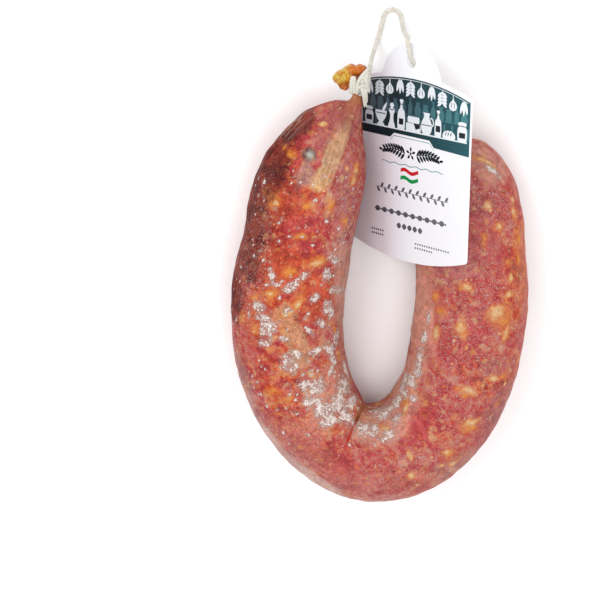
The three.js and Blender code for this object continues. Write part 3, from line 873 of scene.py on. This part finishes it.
# ---- The ties ----
# Thinner twine of the same cotton is wound round each neck and knotted over the windings. The left
# one also has a small slip loop beside the knot, and both have a short cut tail.
TIE_TWINE = 1.5
WINDINGS = 2
WINDING_RADIUS = 1.3
WINDING_STEPS = 22
TIE_LAY = 3.8 * MM


def winding_route(neck, along):
    axis = Vector(along).normalized()
    side = axis.orthogonal().normalized()
    up = axis.cross(side)
    radius = WINDING_RADIUS + TIE_TWINE / 2
    points = []
    for i in range(WINDINGS * WINDING_STEPS + 1):
        angle = 2 * math.pi * i / WINDING_STEPS
        rise_along = TIE_TWINE * (i / WINDING_STEPS - WINDINGS / 2)
        outwards = radius * (math.cos(angle) * side + math.sin(angle) * up)
        points.append((Vector(neck) + axis * rise_along + outwards) * MM)
    return points


def cotton_tie(name, node, neck, along, strands):
    bpy.ops.object.select_all(action="DESELECT")
    parts = [twine(name, winding_route(neck, along), TIE_TWINE * MM, TIE_LAY)]
    for k, strand in enumerate(strands):
        route = [Vector(p) * MM for p in smooth_route(strand, 7)]
        parts.append(twine(f"{name}_{k}", route, TIE_TWINE * MM, TIE_LAY, phase=k))
    for part in parts:
        part.select_set(True)
    bpy.context.view_layer.objects.active = parts[0]
    bpy.ops.object.join()
    tie = bpy.context.object
    tie.data.materials.append(cotton)
    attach(tie, "root")
    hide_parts(node)


cotton_tie("tie_left_twine", "tie_left", (-9.5, 72.8, 19.4), (0, 1, 0), [
    [(-11.2, 72.4, 22.4), (-11.3, 74.6, 23.7), (-11.2, 76.8, 24.3), (-10.7, 78.4, 24.6), (-10.2, 78.0, 24.7),
     (-10.2, 76.6, 24.6), (-10.2, 74.8, 24.1), (-10.1, 72.4, 22.9)],
    [(-9.1, 72.2, 22.9), (-9.1, 74.4, 24.5), (-8.9, 76.4, 25.2), (-7.9, 78.2, 25.6), (-6.6, 79.6, 25.0)],
    [(-8.4, 72.6, 22.8), (-8.6, 75.4, 24.2), (-8.1, 77.6, 24.6), (-7.1, 79.2, 24.6), (-5.7, 80.5, 23.8),
     (-4.5, 81.5, 22.4)],
    [(-6.0, 73.9, 23.8), (-7.0, 75.6, 24.9), (-7.2, 77.3, 25.2), (-6.2, 78.8, 24.8), (-5.0, 79.9, 23.4)],
    [(-5.3, 73.3, 23.2), (-5.6, 75.6, 24.6), (-5.9, 77.6, 25.0), (-5.2, 79.0, 24.2)],
    [(-9.2, 73.8, 23.9), (-7.9, 75.2, 25.2), (-6.6, 75.6, 25.8), (-5.3, 74.6, 25.0), (-4.9, 73.1, 23.6)],
    [(-7.7, 75.3, 25.0), (-7.0, 73.0, 24.8), (-6.5, 70.8, 23.8), (-6.2, 68.8, 22.2), (-5.9, 67.2, 20.9)],
    [(-6.2, 75.0, 25.0), (-5.9, 72.8, 24.4), (-5.7, 70.6, 23.0), (-5.7, 68.6, 21.6)],
])
cotton_tie("tie_right_twine", "tie_right", (12.0, 60.3, 13.4), (-0.54, 0.84, 0), [
    [(12.2, 59.6, 16.6), (13.4, 60.6, 17.8), (14.8, 62.2, 17.4), (14.6, 63.8, 16.2)],
    [(15.4, 60.6, 15.6), (14.4, 61.2, 17.4), (12.8, 62.2, 17.5), (11.8, 62.6, 16.4)],
    [(13.4, 61.4, 17.2), (14.4, 61.8, 16.8), (16.6, 62.6, 15.4), (18.6, 63.0, 12.4), (20.0, 63.0, 9.0)],
])


# ---- The hang tag ----
# A glossy coated card with an arched head and foot and a punched tab. It leans on the right limb with
# its low left corner on the floor, and is printed with a dark larder frieze, ornaments and a ribbon.
TAG_WIDTH = 64.4
TAG_SIDE_HEIGHT = 61.2
TAG_ARCH = 5.2
TAG_LEAN = math.radians(49.4)
TAG_TURN = math.radians(1.2)
TAG_THICKNESS = 0.5
TAG_BACK_LEFT = Vector((-10.6, 14.0, 0.2))
TAG_SHADED_WIDTH = 24.0
INK_THICKNESS = 0.02
card_frame = (
    Matrix.Translation(TAG_BACK_LEFT * MM) @ Matrix.Rotation(-TAG_LEAN, 4, "Y")
    @ Matrix.Rotation(-TAG_TURN, 4, "Z") @ Matrix.Scale(MM, 4)
)


def card_finish():
    finish = Finish("coated_card")
    fibre = finish.grain(3.0, 4, 0.6)
    across = finish.node("ShaderNodeSeparateXYZ", {"Vector": finish.place}).outputs["X"]
    # Painted shade: over the card's left part the colour dips to a lilac grey, standing for the left limb's
    # shadow and a painted reflection of the red meat, then rises to the card's white.
    colour = finish.ramp(finish.edge(across, TAG_BACK_LEFT.x, TAG_BACK_LEFT.x + TAG_SHADED_WIDTH), [
        (0.0, (0.7, 0.65, 0.71)), (0.5, (0.61, 0.565, 0.61)), (0.75, (0.72, 0.71, 0.75)),
        (1.0, (0.8, 0.81, 0.845)),
    ])
    return finish.set(
        Base_Color=colour, Roughness=0.35, Specular_IOR_Level=0.3, Coat_Weight=0.15,
        Coat_Roughness=0.15, Normal=finish.bump(fibre, 0.02, 0.5),
    )


tag = bpy.data.objects["tag"]
tag.data.materials.clear()
tag.data.materials.append(card_finish())


def arch(u):
    radius = (TAG_WIDTH**2 / 4 + TAG_ARCH**2) / (2 * TAG_ARCH)
    return math.sqrt(radius**2 - (u - TAG_WIDTH / 2) ** 2) - (radius - TAG_ARCH)


def printed(name, outlines, ink, layer=0):
    """Films of ink on the card's front, one for each closed outline in the card's width and height."""
    bpy.ops.object.select_all(action="DESELECT")
    for k, outline in enumerate(outlines):
        data = bpy.data.curves.new(name, "CURVE")
        data.dimensions = "2D"
        data.fill_mode = "BOTH"
        data.extrude = (INK_THICKNESS * (1 + layer) + 0.003 * (k % 5)) / 2
        spline = data.splines.new("POLY")
        spline.points.add(len(outline) - 1)
        for point, (u, v) in zip(spline.points, outline):
            point.co = (u, v, 0, 1)
        spline.use_cyclic_u = True
        film = bpy.data.objects.new(name, data)
        bpy.context.collection.objects.link(film)
        film.location.z = TAG_THICKNESS + 0.002 + data.extrude
        film.select_set(True)
    bpy.context.view_layer.objects.active = film
    bpy.ops.object.convert(target="MESH")
    if len(outlines) > 1:
        bpy.ops.object.join()
    film = bpy.context.object
    film.name = name
    bpy.ops.object.transform_apply(location=True, rotation=True, scale=True)
    bpy.ops.object.mode_set(mode="EDIT")
    bpy.ops.mesh.select_all(action="SELECT")
    bpy.ops.mesh.remove_doubles(threshold=0.0004)
    bpy.ops.mesh.normals_make_consistent(inside=False)
    bpy.ops.object.mode_set(mode="OBJECT")
    film.data.transform(card_frame)
    film.data.materials.append(ink)
    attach(film, "root")


def ink_finish(name, stops):
    """Ink whose colour runs from the card's left edge to its right, paler in patches where the card is rough;
    darker stops on the left paint shade there.
    """
    finish = Finish(name)
    across = finish.node("ShaderNodeSeparateXYZ", {"Vector": finish.place}).outputs["X"]
    right = TAG_BACK_LEFT.x + TAG_WIDTH * math.cos(TAG_LEAN)
    inputs = {"Value": across, "From Min": TAG_BACK_LEFT.x, "From Max": right}
    colour = finish.ramp(finish.node("ShaderNodeMapRange", inputs).outputs["Result"], stops)
    worn = finish.mix(0.08, colour, (0.6, 0.65, 0.66))
    colour = finish.mix(finish.edge(finish.grain(2.5, 3), 0.55, 0.8), colour, worn)
    return finish.set(
        Base_Color=colour, Roughness=0.45, Specular_IOR_Level=0.2, Coat_Weight=0.06,
        Coat_Roughness=0.15, Normal=finish.bump(finish.grain(3.0, 4, 0.6), 0.02, 0.5),
    )


# The dark panel: under the arched head, with a stepped foot that a thin teal line follows.
HEAD_MARGIN = 1.5
panel_top = [(u, TAG_SIDE_HEIGHT + arch(u) - HEAD_MARGIN) for u in (63.8, *range(58, 3, -6), 0.6)]
panel_foot = [(0.6, 41.6), (21.8, 41.4), (23.8, 43.2), (43.0, 43.0), (45.4, 40.6), (63.8, 39.9)]
# The panel's ink: the teal is print, and the near black over its left part is painted shade.
printed("tag_panel", [panel_foot + panel_top], ink_finish("panel_ink", [
    (0.0, (0.002, 0.003, 0.006)), (0.4, (0.003, 0.014, 0.02)), (1.0, (0.012, 0.085, 0.105)),
]))
# The teal ink is darker towards the left as well: painted shade.
teal = ink_finish("teal_ink", [(0.0, (0.03, 0.16, 0.17)), (1.0, (0.05, 0.25, 0.26))])
step_line = [(u, v - 0.9) for u, v in panel_foot[1:5]]
printed("tag_step_line", [step_line + [(u, v - 0.25) for u, v in reversed(step_line)]], teal)


def bar(u, v, length, height):
    return [(u, v), (u + length, v), (u + length, v + height), (u, v + height)]


def leaf(u, v, length, width, turn):
    """A pointed leaf from its stalk end."""
    c, s = cos_sin(turn)
    shape = [(t, math.sin(math.pi * t) ** 0.8 * width / 2) for t in (0.1, 0.3, 0.5, 0.7, 0.88)]
    shape = [(0.0, 0.0)] + shape + [(1.0, 0.0)] + [(t, -w) for t, w in reversed(shape)]
    return [(u + c * t * length - s * w, v + s * t * length + c * w) for t, w in shape]


def round_spot(u, v, radius, sides=12):
    turns = [2 * math.pi * k / sides for k in range(sides)]
    return [(u + radius * math.cos(turn), v + radius * math.sin(turn)) for turn in turns]


def handle(u, v, radius, thickness):
    """A half ring, open to the left."""
    turns = [math.pi * (k / 8 - 0.5) for k in range(9)]
    inner = radius - thickness
    outside = [(u + radius * math.cos(turn), v + radius * math.sin(turn)) for turn in turns]
    return outside + [(u + inner * math.cos(turn), v + inner * math.sin(turn)) for turn in reversed(turns)]


def turned(u, v, profile, size=1.0):
    """The outline of a turned thing that stands at u, v, from its half widths and heights."""
    side = [size * p for p in smooth_route(profile, 3)]
    return [(u + p[0], v + p[1]) for p in side] + [(u - p[0], v + p[1]) for p in reversed(side)]


# A larder in pale ink: garlic, chillies and bay hang from a rail, over a shelf of jars and bottles.
BOTTLE = [(1.5, 0), (1.75, 0.3), (1.75, 5.0), (1.5, 6.2), (0.65, 7.2), (0.6, 9.4), (0.85, 9.5), (0.8, 10.2)]
JAR = [(1.9, 0), (2.1, 0.4), (2.1, 4.2), (1.5, 4.9), (1.5, 5.3), (1.9, 5.4), (1.8, 6.2), (0.4, 6.5)]
MORTAR = [(1.8, 0), (1.9, 0.4), (0.9, 1.2), (1.6, 1.9), (2.7, 3.6), (3.0, 5.4)]
MILL = [
    (1.6, 0), (1.7, 0.5), (0.9, 2.4), (0.85, 4.4), (1.4, 5.6), (1.3, 6.3), (0.5, 6.8), (1.0, 7.4), (0.8, 8.1),
    (0.1, 8.5),
]
JUG = [(1.7, 0), (2.5, 1.4), (2.7, 3.0), (2.1, 4.8), (1.4, 5.9), (1.3, 6.8), (1.8, 7.6)]
CHEESE = [(3.7, 0), (3.9, 0.4), (3.9, 2.6), (3.6, 3.0)]
LOAF = [(3.0, 0), (3.5, 0.7), (3.0, 2.1), (1.5, 3.0), (0.1, 3.1)]
GARLIC = [(0.12, 0), (0.2, -1.4), (0.5, -2.0), (1.6, -3.0), (2.0, -4.2), (1.4, -5.4), (0.1, -5.8)]
SHELF = 45.2
RAIL_BELOW_HEAD = 0.6
along_rail = [1.8 + 3.04 * k for k in range(21)]
rail = [(u, TAG_SIDE_HEIGHT + arch(u) - HEAD_MARGIN - RAIL_BELOW_HEAD) for u in along_rail]
pale = [rail + [(u, v - 0.2) for u, v in reversed(rail)], bar(1.8, SHELF - 0.5, 60.8, 0.5)]
dark = []
for place, shape, size in (
    (4.2, BOTTLE, 1.0), (9.9, JAR, 1.0), (16.4, MORTAR, 1.05), (22.4, MILL, 1.1), (27.6, BOTTLE, 1.1),
    (34.3, CHEESE, 1.0), (41.3, JUG, 1.05), (47.4, BOTTLE, 0.95), (53.2, LOAF, 0.95), (60.0, JAR, 1.1),
):
    pale.append(turned(place, SHELF, shape, size))
    if shape is BOTTLE:
        dark.append(bar(place - 1.2, SHELF + 1.7, 2.4, 2.3))
        dark.append(bar(place - 0.75, SHELF + 8.4 * size, 1.5, 0.3))
    elif shape is JAR:
        dark.append(bar(place - 1.5, SHELF + 4.95 * size, 3.0, 0.3))
        dark.append(bar(place - 1.6, SHELF + 1.2, 3.2, 2.0))
    elif shape is MORTAR:
        pale.append(leaf(place + 0.4, SHELF + 4.6, 5.2, 1.3, 58))
        dark.append(bar(place - 2.5, SHELF + 4.4, 5.0, 0.35))
    elif shape is MILL:
        dark.append(bar(place - 1.3, SHELF + 6.5, 2.6, 0.35))
    elif shape is CHEESE:
        pale.append(turned(place, SHELF + 3.2, CHEESE, 0.8))
        cut = ((0.2, 3.0), (1.3, 0.8), (3.6, 1.6), (3.6, 3.0))
        dark.append([(place + right, SHELF + up) for right, up in cut])
    elif shape is JUG:
        pale.append(handle(place + 2.0, SHELF + 4.6, 1.9, 0.5))
        dark.append(bar(place - 2.5, SHELF + 3.2, 5.0, 0.3))
    else:
        dark += [leaf(place - 2.0 + 1.3 * j, SHELF + 0.9, 1.9, 0.4, 62) for j in range(3)]
for k in range(11):
    place = 4.0 + 5.65 * k
    top = TAG_SIDE_HEIGHT + arch(place) - HEAD_MARGIN - 0.2 - RAIL_BELOW_HEAD
    if k % 3 == 0:
        pale.append(turned(place, top, GARLIC))
        dark += [leaf(place + side * 0.5, top - 2.3, 2.9, 0.3, -90 + side * 9) for side in (-1, 1)]
    elif k % 3 == 1:
        pale += [leaf(place + 0.5 * j, top, 5.6 - 0.5 * abs(j), 1.35, -90 + 15 * j) for j in (-1, 0, 1)]
    else:
        pale.append(bar(place - 0.15, top - 5.0, 0.3, 5.0))
        for j in range(4):
            pale += [leaf(place, top - 0.7 - 1.2 * j, 3.1, 1.15, -90 + side * 52) for side in (-1, 1)]
# Behind them, in a dim ink, more jars stand on a second shelf between strings of garlic.
BACK_SHELF = SHELF + 6.2
dim = [bar(1.8, BACK_SHELF - 0.35, 60.8, 0.35)]
for k in range(15):
    place = 3.6 + 4.1 * k
    dim.append(turned(place, BACK_SHELF, (JAR, BOTTLE, JUG)[k % 3], (0.72, 0.62, 0.66)[k % 3]))
    dim.append(bar(place + 1.5, SHELF + 0.4, 0.9, 4.6))
# The dim and pale inks below darken towards the left: painted shade on the card's left part.
printed("tag_larder_back", dim, ink_finish("dim_ink", [
    (0.0, (0.03, 0.035, 0.055)), (0.4, (0.035, 0.075, 0.095)), (1.0, (0.05, 0.19, 0.21)),
]), 1)
printed("tag_larder", pale, ink_finish("pale_ink", [
    (0.0, (0.35, 0.4, 0.47)), (0.35, (0.62, 0.65, 0.7)), (1.0, (0.74, 0.78, 0.8)),
]), 2)
# The black ink is a little darker towards the left too: painted shade.
black = ink_finish("black_ink", [(0.0, (0.004, 0.005, 0.01)), (1.0, (0.006, 0.016, 0.02))])
printed("tag_larder_lines", dark, black, 3)

# Under the panel, in black, a pair of laurel branches with a flower between them.
HEADING = (33.2, 36.6)
laurel = [round_spot(*HEADING, 0.55)]
for turn in range(18, 360, 72):
    c, s = cos_sin(turn)
    laurel.append(leaf(HEADING[0] + 0.7 * c, HEADING[1] + 0.7 * s, 1.9, 1.0, turn))
for side in (-1, 1):
    stem = [(side * (3.2 + 1.5 * j), 0.9 * math.sin(0.42 * j)) for j in range(9)]
    stem = [(HEADING[0] + u, HEADING[1] - 0.5 + v) for u, v in stem]
    laurel.append(stem + [(u, v + 0.35) for u, v in reversed(stem)])
    for j, (u, v) in enumerate(stem[:-1]):
        for lift in (-1, 1):
            turn = lift * (50 - 2 * j) if side > 0 else 180 - lift * (50 - 2 * j)
            laurel.append(leaf(u, v + 0.17, 3.5 - 0.16 * j, 1.15, turn))
    laurel.append(leaf(*stem[-1], 2.4, 1.0, 90 - side * 80))
printed("tag_laurel", laurel, black)
wave = [(17.5 + 1.0 * k, 31.6 + 0.28 * math.sin(k * 1.1)) for k in range(34)]
printed("tag_rule", [wave + [(u, v + 0.3) for u, v in reversed(wave)]], teal)
RIBBON = [("green", (0.0, 0.24, 0.06), 0), ("red", (0.5, 0.01, 0.02), 2)]
for name, colour, place in RIBBON:
    sway = [(28.0 + 0.8 * k, 25.8 + 1.5 * place + 0.55 * math.sin(k * 0.62)) for k in range(13)]
    ink = ink_finish(name + "_ink", [(0.0, colour), (1.0, colour)])
    printed("tag_ribbon_" + name, [sway + [(u, v + 1.4) for u, v in reversed(sway)]], ink)

# Grey borders of leaves, lozenges and dots fill the lower card.
borders = [bar(14.8, 21.2, 39.2, 0.25)]
for k in range(20):
    borders.append(leaf(15.2 + 1.95 * k, 21.3, 2.5, 1.2, 50 if k % 2 else -50))
for k in range(10):
    borders.append(leaf(14.2 + 3.9 * k, 12.8, 3.1, 2.2, 0))
    borders.append(round_spot(17.75 + 3.9 * k, 12.8, 0.42))
for k in range(5):
    borders.append(leaf(26.6 + 2.9 * k, 8.0, 2.5, 2.3, 0))
borders += [round_spot(13.0 + 1.2 * k, 4.4 - 1.6 * row, 0.42) for row in range(2) for k in range(6)]
for row, count in ((0, 15), (1, 8)):
    borders += [round_spot(37.2 + 1.25 * k, 2.6 - 1.6 * row, 0.38) for k in range(count)]
# The grey print darkens towards the left: painted shade.
grey = ink_finish("grey_ink", [(0.0, (0.03, 0.03, 0.045)), (1.0, (0.15, 0.15, 0.17))])
printed("tag_borders", borders, grey)


# ---- Floor and light ----
bpy.ops.object.select_all(action="DESELECT")
bpy.ops.mesh.primitive_plane_add(size=12)
floor = bpy.context.object
floor.name = "floor"
white = Finish("white_floor")
floor.data.materials.append(white.set(Base_Color=(0.96, 0.96, 0.96), Roughness=0.9))

world = bpy.data.worlds.new("studio")
world.use_nodes = True
world.node_tree.nodes["Background"].inputs["Color"].default_value = (0.97, 0.98, 1.0, 1)
world.node_tree.nodes["Background"].inputs["Strength"].default_value = 0.84
bpy.context.scene.world = world


def soft_box(name, place, size, watts):
    bpy.ops.object.light_add(type="AREA", location=place)
    lamp = bpy.context.object
    lamp.name = name
    lamp.data.shape = "DISK"
    lamp.data.size = size
    lamp.data.energy = watts
    lamp.rotation_euler = (Vector((0, 0, 0.02)) - Vector(place)).to_track_quat("-Z", "Y").to_euler()


soft_box("key", (-0.46, 0.34, 0.92), 0.5, 3.6)
soft_box("top", (0.08, -0.12, 1.2), 0.8, 4.4)
soft_box("side", (0.9, 0.1, 0.7), 0.6, 1.7)
